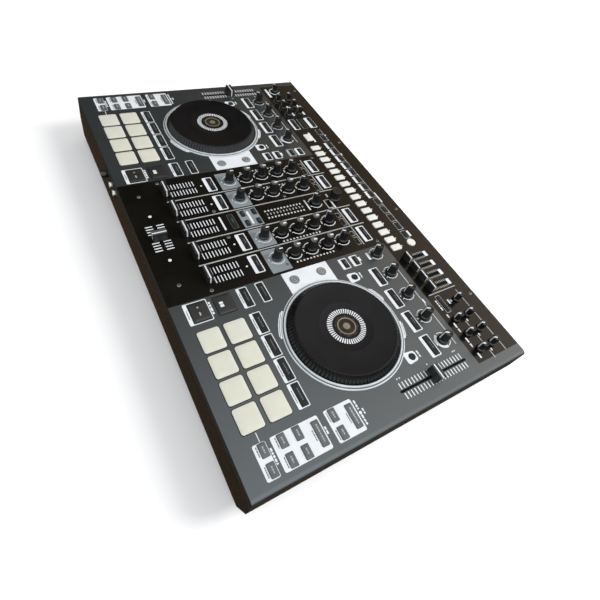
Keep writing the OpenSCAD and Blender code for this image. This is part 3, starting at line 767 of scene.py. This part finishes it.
def fader_piece(name, node, turned=False):
    kit = Kit()
    for b in solids(node):
        w, d = span(b)[::-1] if turned else span(b)
        fader_cap(kit, middle(b), w, d, DECK + LIFT, b[1].z, turned)
    make(name, kit, [cap_black, white_ink, turned_steel], node, [node], sharp=28)


for i in (1, 2, 3, 4):
    fader_piece(f"channel_fader_{i}_cap", f"channel_fader_{i}")
fader_piece("main_fader_cap", "main_fader")
fader_piece("crossfader_cap", "crossfader", True)
for side_name, _ in SIDES:
    fader_piece(f"{side_name}_pitch_fader_cap", f"{side_name}_pitch_fader")
fader_piece("drum_fader_caps", "drum_faders")

# ---- printed marks, and painted shade in slots and gaps

# The last material is no ink: it is painted shade for fader slots and for the gaps round pads and big
# keys.
INKS = [white_ink, grey_ink, dim_ink, dark_ink, plate_ink, gap_shade]
WHITE, GREY, DIM, WORD, PLATE, GAP_SHADE = range(6)
# Print, together with painted shade in fader slots and in the gaps round pads and big keys.
deck_print_and_shade, mixer_print_and_shade, band_print_and_shade = Kit(), Kit(), Kit()
Z0, Z1 = DECK - 0.01, DECK + INK


def label_frame(kit, b, side, rear, front, line=1.0, bar=0.0, ink=WHITE, corner=1.6, word=0.0):
    """Printed frame round a key, with margins side, rear and front. bar is its front label's height."""
    c = middle(b)
    x0, x1 = b[0].x - side, b[1].x + side
    y0, y1 = b[0].y - front, b[1].y + rear
    low = y0 + (bar or line)
    outer = rounded((x0 + x1) / 2, (y0 + y1) / 2, x1 - x0, y1 - y0, corner)
    inner = rounded((x0 + x1) / 2, (low + y1 - line) / 2, x1 - x0 - 2 * line, y1 - line - low,
                    corner * 0.6)
    kit.cutout(outer, [inner], Z0, Z1, ink)
    if word:
        dashes(kit, c.x, y0 + bar / 2, (x1 - x0) * word, 1.1, Z1, WORD)


def stroke(kit, x0, y0, x1, y1, width=1.0, ink=WHITE):
    kit.bar((x0, y0), (x1, y1), width, Z0, Z1, ink)


def patch(kit, x, y, w, d, ink=WHITE, corner=0.3):
    kit.cutout(rounded(x, y, w, d, corner), [], Z0, Z1, ink)


def outline_box(kit, x, y, w, d, line=0.8):
    """Thin grey frame."""
    kit.cutout(rounded(x, y, w, d, 0.6), [rounded(x, y, w - 2 * line, d - 2 * line, 0.4)], Z0, Z1, GREY)


def dot(kit, x, y, r, n=12, ink=WHITE):
    kit.cutout(circle(x, y, r, n), [], Z0, Z1, ink)


def curve(kit, x, y, r, width, start, end, ink=WHITE):
    kit.arc(x, y, r, width, start, end, Z0, Z1, ink)


def slot(kit, x, y, w, d, corner=1.5):
    """Dark sheet over a fader's slot: painted shade of the open slot."""
    kit.cutout(rounded(x, y, w, d, corner), [], DECK - 0.02, DECK + 0.04, GAP_SHADE)


def word(kit, x, y, width, height=2.2):
    dashes(kit, x, y, width, height, Z0, WHITE)


def knob_scale(kit, x, y, r=10.8, width=1.0):
    """Two arcs beside a knob that end in short marks at its front."""
    curve(kit, x, y, r, width, -62, 62)
    curve(kit, x, y, r, width, 118, 242)
    for angle in (-62, 242):
        a = math.radians(angle)
        near, far = ((x + q * math.cos(a), y + q * math.sin(a)) for q in (r - 0.8, r + 2.4))
        kit.bar(near, far, 1.2, Z0, Z1, WHITE)


def print_deck(name, s):
    """Everything printed on one deck's slate surface, with painted shade round its pads and big keys and
    in its pitch fader's slot.
    """
    kit = deck_print_and_shade
    keys = solids(f"{name}_deck_buttons")

    def of_size(size):
        return sorted((b for b in keys if size_is(b, *size)), key=lambda b: -middle(b).y)

    mode = of_size(MODE)
    label_frame(kit, mode[0], 2.5, 1.6, 2.5, 1.2)
    for b in mode[1:]:
        label_frame(kit, b, 2.3, 1.8, 5.2, 1.1, 4.2, word=0.5)
    for b in of_size(EFFECT):
        label_frame(kit, b, 2.3, 2.3, 6.0, 1.4, 5.0)
    play = of_size(PLAY)[0]
    label_frame(kit, play, 2.6, 1.6, 6.4, 1.2, 5.0, word=0.4)
    word(kit, middle(play).x, play[1].y + 3.6, 20, 2.6)
    small = of_size(SMALL)
    for k, b in enumerate(small):
        faint = s < 0 and k == 1
        label_frame(kit, b, 3.6, 2.0, 6.0, 1.3, 4.6, GREY if faint else WHITE)
        if k == len(small) - 2:
            patch(kit, middle(b).x - 0.5, b[1].y + 3.6, 8, 3.2)
    for b in keys:
        if size_is(b, *ROUND):
            collar(kit, middle(b))
    # Dark rings round the pads and the cue and play keys: painted shade in the gaps round them.
    for b in solids(f"{name}_pads") + of_size(CUE) + of_size(PLAY):
        c, (w, d) = middle(b), span(b)
        gap = 1.5 if w > 30 else 1.2
        kit.cutout(rounded(c.x, c.y, w + gap, d + gap, 3.4), [rounded(c.x, c.y, w - 1, d - 1, 2.6)],
                   DECK - 0.02, DECK + 0.05, GAP_SHADE)
    loop_plates(kit, of_size(WIDE), of_size(PAIR), s)
    effect_scales(kit, name, s)
    pitch_scale(kit, name, s)


def collar(kit, c, r=8.5):
    """White collar round a round key, round at the rear and square at the front, and its word."""
    outline = []
    for x, y in rounded(c.x, c.y - 1.2, 2 * r, 19, 3.4):
        if y >= c.y:
            share = r / math.hypot(x - c.x, y - c.y)
            x, y = c.x + share * (x - c.x), c.y + share * (y - c.y)
        outline.append((x, y))
    kit.cutout(outline, [circle(c.x, c.y, 5.2)], Z0, Z1, WHITE)
    word(kit, c.x, c.y + 11.2, 10)


def loop_plates(kit, wide, pairs, s):
    """White plates round the wide keys and the pairs of keys at the outer edge."""
    x = middle(wide[0]).x + s * 0.3
    groups = (([wide[0]] + pairs[0:2], 2.0, 5.3), ([wide[1]] + pairs[2:6], 1.8, 7.8),
              (pairs[6:8], 1.0, 5.8))
    for keys, rear, front in groups:
        top = max(b[1].y for b in keys) + rear
        foot = min(b[0].y for b in keys) - front
        holes = [hole(b) for b in keys]
        kit.cutout(rounded(x, (top + foot) / 2, 40, top - foot, 2.2), holes, Z0, Z1, WHITE)
        for b in keys:
            c = middle(b)
            if span(b)[0] > 20:
                dashes(kit, c.x, b[0].y - 2.6, 13, 1.2, Z1, WORD)
            elif b[0].y - foot < front + 0.1:
                dashes(kit, c.x, b[0].y - 2.4, 12, 1.2, Z1, WORD)
    above = wide[0][1].y
    word(kit, x - 10, above + 5.2, 12)
    word(kit, x + 9, above + 5.2, 13)
    dot(kit, x, above + 5.2, 2, 16)
    word(kit, x, above + 10, 7, 2.0)
    word(kit, x, wide[1][1].y + 4, 9)
    word(kit, x, pairs[6][1].y + 3.0, 20)
    line_y = middle(pairs[6]).y
    stroke(kit, x - s * 31.5, line_y, x - s * 20.5, line_y, 0.9)


def hole(b, gap=0.8):
    """Outline of the hole that a key passes through in a printed plate."""
    w, d = span(b)
    return rounded(*middle(b).xy, w + gap, d + gap, 1)


def effect_scales(kit, name, s):
    """Scales of a deck's effect knobs, and on the right deck of the knob at their inner end."""
    knobs = sorted((middle(box(f"{name}_effect_knob_{i}")) for i in (1, 2, 3, 4)), key=lambda c: c.x)
    for c in knobs[:3]:
        knob_scale(kit, c.x, c.y)
        dot(kit, c.x, c.y - 12.6, 1.2)
    c = knobs[3]
    curve(kit, c.x, c.y, 11.2, 1.2, 15, 62)
    curve(kit, c.x, c.y, 10.9, 3.6, -150, 10)
    curve(kit, c.x, c.y, 11.2, 1.2, 118, 195)
    patch(kit, c.x, c.y - 13.2, 9, 1.6)
    line_y = c.y + 15
    stroke(kit, knobs[0].x, line_y, c.x + 13, line_y, 0.9)
    patch(kit, (knobs[1].x + knobs[2].x) / 2, line_y + 1.3, 8, 3.4)
    if s > 0:
        c = middle(box("cue_mix_knob"))
        knob_scale(kit, c.x, c.y)
        patch(kit, c.x, c.y - 15.6, 14, 4.4)


def pitch_scale(kit, name, s):
    """Scale of 21 pairs of ticks beside the pitch fader's slot, painted shade in the slot, and its small
    signs.
    """
    c = middle(box(f"{name}_pitch_fader"))
    step = 5.37
    for k in range(21):
        y = c.y + (k - 10) * step
        stroke(kit, c.x - 11, y, c.x - 2.8, y, 1.5)
        stroke(kit, c.x + 2.8, y, c.x + 11, y, 1.5)
    slot(kit, c.x, c.y, 3.4, 117, 1.6)
    for dy in (51.5, 48, 0, -48, -52):
        dot(kit, c.x - s * 16.5, c.y + dy, 1.0)


def print_key_signs():
    """Plain signs on the cue and play keys, which ride with the keys."""
    for name, _ in SIDES:
        kit = Kit()
        for b in solids(f"{name}_deck_buttons"):
            c, z = middle(b), b[1].z - 0.04
            if size_is(b, *CUE):
                kit.block((c.x - 4, b[0].y + 5.5, z), (c.x - 0.5, b[0].y + 10.5, z + 0.1), 0)
                kit.block((c.x + 0.3, b[0].y + 5.5, z), (c.x + 4.2, b[0].y + 10.5, z + 0.1), 0)
            elif size_is(b, *PLAY):
                kit.lathe(c.x - 6, c.y - 1, [(1.3, z), (1.3, z + 0.08)], 12, 1)
                kit.block((c.x + 1.5, c.y - 2, z), (c.x + 6.5, c.y, z + 0.08), 1)
        make(f"{name}_key_signs", kit, [white_ink, grey_ink], f"{name}_deck_buttons")


def print_mixer():
    """Everything printed on the mixer's faceplate, with painted shade in its fader slots."""
    kit = mixer_print_and_shade
    keys = solids("mixer_buttons")
    wide = [b for b in keys if size_is(b, *MIXER_KEY)]
    cue_y, assign_y = sorted({round(middle(b).y, 1) for b in wide})
    for b in wide:
        if abs(middle(b).x) < 1:
            label_frame(kit, b, 1.6, 1.6, 1.6, 0.9, 0, DIM)
        else:
            label_frame(kit, b, 3.0, 2.4, 6.4, 1.6, 5.6)
    fader_y = middle(box("channel_fader_1")).y
    level = middle(box("trim_knob_1")).y
    knob_rows = [middle(box(f"{row}_knob_1")).y for row in ("high", "mid", "low", "filter")]
    line_y = assign_y - 15.2
    for x in STRIPS:
        stroke(kit, x - 20, line_y, x + 20, line_y, 1.8, GREY)
        for dx, w in ((-6, 10), (10, 16)):
            outline_box(kit, x + dx, line_y - 7, w, 8)
            patch(kit, x + dx, line_y - 10.6, w, 1, GREY)
        knob_scale(kit, x, level, 11.3, 1.3)
        patch(kit, x, level - 13.4, 6, 1.8)
        for y in knob_rows[:3]:
            knob_scale(kit, x, y, 11.3, 1.3)
            patch(kit, x, y - 13.4, 5, 1.6)
        knob_scale(kit, x, knob_rows[3], 11.3, 1.1)
        patch(kit, x, knob_rows[3] - 13.2, 4, 1.4)
        patch(kit, x, cue_y - 16.2, 2.6, 2.6)
    for x in [0] + STRIPS:
        for k in range(9):
            y = fader_y + 8 + k * 4.8
            stroke(kit, x - 13.5, y, x - 2.6, y, 1.35)
            stroke(kit, x + 2.2, y, x + 13, y, 1.35)
        # Painted shade in the fader's slot.
        slot(kit, x, fader_y + 23.5, 3.2, 57)
    stroke(kit, -14, line_y - 0.4, -6, line_y - 0.4, 2.8)
    stroke(kit, 1, line_y - 0.4, 21, line_y - 0.4, 2.8)
    label, window = rounded(9, line_y - 7.5, 21, 12, 1.2), rounded(8.6, line_y - 7, 17.6, 9, 0.8)
    kit.cutout(label, [window], Z0, Z1, GREY)
    knob_scale(kit, 0, level, 11.3, 1.3)
    stroke(kit, -11, level - 16.3, 13, level - 16.3, 2.6)
    patch(kit, 0, cue_y - 16.3, 28, 2.8)
    for s in (-1, 1):
        for x in (PITCH / 2, PITCH * 1.5):
            stroke(kit, s * x, assign_y + 12, s * x, fader_y - 4, 1.9, GREY)
    filter_plates(kit, knob_rows[3])
    cross_scale(kit)


def filter_plates(kit, y):
    """Blue-grey plates under the filter knobs and round the four small keys."""
    for i, x in enumerate([STRIPS[0], STRIPS[1], 0, STRIPS[2], STRIPS[3]]):
        left, right = x - PITCH / 2 + 3, x + PITCH / 2 - 3
        if i == 0:
            left -= 1.5
        if i == 4:
            right += 6
        if x:
            holes = [circle(x, y, 3.6)]
        else:
            holes = [hole(b) for b in solids("mixer_buttons") if size_is(b, *PLATE_KEY)]
        plate = rounded((left + right) / 2, y - 2.4, right - left, 32, 0.3)
        kit.cutout(plate, holes, Z0 - 0.03, Z0 + 0.03, PLATE)
    patch(kit, 0, y - 2.5, 27, 3.4)
    dot(kit, STRIPS[3] + 15.5, y + 9, 2.4, 20, WORD)


def cross_scale(kit):
    """Ticks on both sides of the crossfader's slot, painted shade in the slot, and a mark at each end."""
    y = middle(box("crossfader")).y
    for s in (-1, 1):
        for k in range(4):
            x = s * (8.5 + 5 * k)
            stroke(kit, x, y + 2.8, x, y + 13, 1.8)
            stroke(kit, x, y - 2.8, x, y - 13, 1.8)
        dot(kit, s * 43.2, y, 2.6, 6)
    slot(kit, 0, y, 58, 3.2)


def meters():
    """Columns of clear level windows: one in each strip, and two in the middle with marks between."""
    kit = Kit()
    top, step, windows = middle(box("high_knob_1")).y + 2, 5.8, 12
    places = [(STRIPS[3] + 16.5, 2.8), (STRIPS[2] + 17.4, 2.8), (STRIPS[1] - 13.4, 2.8),
              (STRIPS[0] - 14.3, 2.8), (-5.3, 3.2), (9.7, 3.2)]
    for x, w in places:
        for k in range(windows):
            y = top - k * step
            kit.block((x - w / 2, y - 1.45, DECK - 0.4), (x + w / 2, y + 1.45, DECK + 0.2), 0, 0.25)
    for k in range(windows):
        patch(mixer_print_and_shade, 2, top + 1 - k * step, 4.4, 1.8, GREY)
    make("meter_windows", kit, [led_clear])


def print_band():
    """Everything printed on the rear band's faceplate, with painted shade in its fader slots."""
    kit = band_print_and_shade
    keys = solids("drum_buttons")
    row = [b for b in keys if size_is(b, *ROW_KEY)]
    for b in row:
        label_frame(kit, b, 1.5, 1.3, 1.3, 1.0, 0, GREY, 1.2)
    for b in row[2:10]:
        patch(kit, middle(b).x, b[0].y - 3.6, 17.5, 5.4)
    y = row[0][1].y
    for start, end in ((0, 1), (2, 5), (6, 13)):
        stroke(kit, row[start][0].x - 1.5, y + 1.6, row[end][1].x + 1.5, y + 1.6, 1.4, GREY)
    patch(kit, middle(row[9]).x + 11, y + 3.2, 26, 3.4)
    patch(kit, middle(row[3]).x + 9, y + 3, 5, 3.2)
    patch(kit, middle(row[14]).x, y + 3.8, 12.5, 3.8)
    patch(kit, (row[0][1].x + row[1][0].x) / 2 + 2, y + 3, 4, 3)
    wide = sorted((b for b in keys if size_is(b, *BAND_KEY)), key=lambda b: -b[0].y)
    label_frame(kit, wide[0], 2.0, 1.6, 7.4, 1.6, 6.7)
    label_frame(kit, wide[1], 1.6, 1.4, 1.6, 1.2, 0, DIM)
    patch(kit, middle(wide[1]).x, wide[1][0].y - 1.6, 32, 1.6, GREY)
    label_frame(kit, wide[2], 2.0, 1.6, 4.6, 1.4, 3.8)
    white = next(b for b in keys if size_is(b, *WHITE_KEY))
    patch(kit, middle(white).x, white[1].y + 3, 30, 3.6)
    long_key = next(b for b in keys if size_is(b, *LONG_KEY))
    label_frame(kit, long_key, 1.6, 1.6, 1.6, 0.8, 0, GREY)
    word(kit, middle(long_key).x, long_key[0].y - 5, 18, 2.4)
    for b in solids("step_buttons"):
        dot(kit, middle(b).x, b[1].y + 2.6, 1.1)
    drum_fader_scales(kit)
    rear_knob_marks(kit)


def drum_fader_scales(kit, travel=36):
    """Painted shade in the slots of the rear band's short faders, their ticks and labels, and the line
    beside them.
    """
    for b in solids("drum_faders"):
        c = middle(b)
        slot(kit, c.x, c.y + travel / 2, 5, travel + 9, 1)
        for k in range(13):
            y = c.y + k * travel / 12
            stroke(kit, c.x - 6.6, y, c.x - 3.2, y, 1.1, GREY)
            stroke(kit, c.x + 3.2, y, c.x + 6.6, y, 1.1, GREY)
        patch(kit, c.x, c.y + travel + 5, 10.5, 6)
    edge = middle(solids("drum_faders")[-1]).x + 10.7
    stroke(kit, edge, REAR - 77, edge, REAR - 21.5, 1.6, GREY)


def rear_knob_marks(kit):
    """Scales, lines and labels of the small knobs at both ends of the rear band."""
    knobs = [middle(b) for b in solids("rear_knobs")]
    right = [c for c in knobs if c.x > 265]
    lead = next(c for c in knobs if 200 < c.x < 265)
    left = [c for c in knobs if -300 < c.x < -200]
    far = next(c for c in knobs if c.x < -300)
    high = max(c.y for c in right)
    stroke(kit, lead.x - 15, high + 15, lead.x + 18, high + 15, 1.2, GREY)
    for c in right:
        if c.y < high - 1:
            patch(kit, c.x - 9, c.y - 8, 6, 2.6)
            patch(kit, c.x + 8, c.y - 8, 8, 2.6)
            stroke(kit, c.x + 8, c.y + 13, c.x + 20, c.y + 13, 1.4, GREY)
        else:
            stroke(kit, c.x + 2, c.y + 15, c.x + 17, c.y + 15, 1.4, GREY)
            patch(kit, c.x + 8, c.y - 7, 4, 2)
    patch(kit, lead.x - 1, lead.y - 14, 8, 3.4)
    patch(kit, lead.x - 1, lead.y - 9.5, 3.5, 3)
    for c in left:
        curve(kit, c.x, c.y, 8.4, 0.9, 200, 340, DIM)
        if c.x > min(p.x for p in left) + 5:
            patch(kit, c.x - 1, c.y + 10.5, 10, 4)
    curve(kit, far.x, far.y, 10.4, 2.0, -215, 75)
    patch(kit, far.x + 4, far.y - 16.5, 30, 5)


for side_name, side_sign in SIDES:
    print_deck(side_name, side_sign)
print_key_signs()
print_mixer()
meters()
print_band()
# Each of these pieces holds print and painted shade in slots and gaps.
make("deck_printing_and_shade", deck_print_and_shade, INKS)
make("mixer_printing_and_shade", mixer_print_and_shade, INKS)
make("band_printing_and_shade", band_print_and_shade, INKS)

# ---- screws and sockets


def screws():
    """Faceplate screws, whose cross recess is painted shade: dark bars on the head."""
    kit = Kit()
    for k, b in enumerate(solids("case_screws")):
        c, r, top = middle(b), span(b)[0] / 2, b[1].z
        head = [(r, DECK), (r, DECK + 0.25), (r - 0.5, top - 0.2), (r - 1.1, top), (0.2, top)]
        kit.lathe(c.x, c.y, head, 28)
        turn = random.Random(k).uniform(0, math.pi)
        # Dark bars across the head: painted shade of the cross recess.
        for angle in (turn, turn + math.pi / 2):
            d = Vector((math.cos(angle), math.sin(angle))) * r * 0.55
            kit.bar((c.x - d.x, c.y - d.y), (c.x + d.x, c.y + d.y), 0.7, top - 0.1, top + 0.02, 1)
    make("faceplate_screws", kit, [screw_steel, gap_shade], replaces=["case_screws"])


def socket_details():
    """Collars, pins and coloured rings of the rear sockets."""
    kit = Kit()
    wall = box("bottom_case")[1].y
    for b in solids("io_sockets"):
        c, r = middle(b), span(b)[0] / 2
        if c.y < 0:
            turned_collar(kit, c.x, c.z, b[0].y, -1, r - 1.6, r + 1.2, 0.5, 0)
        elif abs(r - 4) < 0.1:
            turned_collar(kit, c.x, c.z, wall, 1, r + 0.2, r + 1.8, 1.2, 2 if c.x < 170 else 1)
        elif abs(r - 11) < 0.1:
            turned_collar(kit, c.x, c.z, wall, 1, 9.6, 12.5, 0.8, 0)
            for a in (90, 210, 330):
                x, z = c.x + 4 * math.cos(math.radians(a)), c.z + 4 * math.sin(math.radians(a))
                turned_collar(kit, x, z, wall - 10, 1, 0.02, 1.1, 7, 0)
        else:
            turned_collar(kit, c.x, c.z, b[1].y, 1, 3.4, 5.5, 0.4, 0)
    make("socket_collars", kit, [nickel, ring_red, ring_white])


def turned_collar(kit, x, z, y, way, inner, outer, thick, mark):
    """Ring round a socket, on a wall at y, standing out by thick along way."""
    local = Kit()
    local.lathe(0, 0, [(outer, 0), (outer, thick * 0.6), (outer - 0.3, thick), (inner + 0.2, thick),
                       (inner, thick * 0.8), (inner, 0)], 32, mark, closed=True)
    start = len(kit.points)
    for px, py, pz in local.points:
        kit.points.append(Vector((x + px, y + way * pz, z - way * py)))
    kit.faces += [[start + i for i in face] for face in local.faces]
    kit.marks += local.marks


screws()
socket_details()

# ---- floor, light and camera


def floor(half=6):
    mesh = bpy.data.meshes.new("floor")
    corners = [(-half, -half, 0), (half, -half, 0), (half, half, 0), (-half, half, 0)]
    mesh.from_pydata(corners, [], [(0, 1, 2, 3)])
    mesh.materials.append(surface("pale_floor", 0.86, 0.90, (0.6, 0.7), 3, 0.01, 400))
    piece = bpy.data.objects.new("floor", mesh)
    bpy.context.scene.collection.objects.link(piece)
    piece.visible_glossy = False


def softbox(name, place, size, power):
    """Square lamp that faces the object and isn't seen in its gloss."""
    data = bpy.data.lights.new(name, "AREA")
    data.shape, data.size, data.energy = "SQUARE", size, power
    lamp = bpy.data.objects.new(name, data)
    bpy.context.scene.collection.objects.link(lamp)
    lamp.location = place
    lamp.rotation_euler = (-Vector(place)).to_track_quat("-Z", "Y").to_euler()
    lamp.visible_glossy = False


def room():
    """Pale ambient light. Gloss sees a room: bright on one side, dark on the other, brown below."""
    world = bpy.data.worlds.new("studio")
    world.use_nodes = True
    nodes = world.node_tree.nodes
    pale = nodes["Background"]
    pale.inputs["Color"].default_value = (0.985, 0.99, 1.0, 1)
    pale.inputs["Strength"].default_value = 0.88
    seen = nodes.new("ShaderNodeBackground")
    seen.inputs["Strength"].default_value = 1.0
    place = nodes.new("ShaderNodeTexCoord")
    split = nodes.new("ShaderNodeSeparateXYZ")
    across, up = map_range(nodes, -1.0, 0.2), map_range(nodes, -0.06, 0.25)
    rear = map_range(nodes, 0.3, 0.7, 0, 0.34)
    ramp = nodes.new("ShaderNodeValToRGB")
    tones = ((0.0, (0.05, 0.045, 0.03)), (0.36, (0.15, 0.14, 0.11)), (0.58, 1.3),
             (0.85, (2.6, 2.75, 2.85)))
    for k, (at, tone) in enumerate(tones):
        step = ramp.color_ramp.elements[k] if k < 2 else ramp.color_ramp.elements.new(at)
        step.position, step.color = at, colour_of(tone)
    warm = nodes.new("ShaderNodeMixRGB")
    warm.inputs["Color2"].default_value = (1.7, 1.25, 0.75, 1)
    blend = nodes.new("ShaderNodeMixRGB")
    blend.inputs["Color1"].default_value = (0.060, 0.043, 0.026, 1)
    path = nodes.new("ShaderNodeLightPath")
    mix = nodes.new("ShaderNodeMixShader")
    link(place, "Generated", split, "Vector")
    link(split, "X", across, "Value")
    link(split, "Z", up, "Value")
    link(across, "Result", ramp, "Fac")
    link(up, "Result", blend, "Fac")
    link(split, "Y", rear, "Value")
    link(rear, "Result", warm, "Fac")
    link(ramp, "Color", warm, "Color1")
    link(warm, "Color", blend, "Color2")
    link(blend, "Color", seen, "Color")
    link(path, "Is Glossy Ray", mix, "Fac")
    link(pale, "Background", mix, 1)
    link(seen, "Background", mix, 2)
    link(mix, "Shader", nodes["World Output"], "Surface")
    bpy.context.scene.world = world


def camera():
    data = bpy.data.cameras.new("camera")
    data.sensor_width, data.lens = 36, 24
    eye = bpy.data.objects.new("camera", data)
    bpy.context.scene.collection.objects.link(eye)
    eye.location = (0.3995, -0.2780, 0.5081)
    eye.rotation_euler = Euler([math.radians(a) for a in (35.542, -11.442, 61.08)], "XYZ")
    bpy.context.scene.camera = eye


floor()
room()
softbox("key", (0.9, 1.75, 1.9), 1.2, 62)
softbox("fill", (1.5, -1.0, 1.8), 1.6, 5)
camera()
bpy.context.scene.view_settings.view_transform = "Standard"
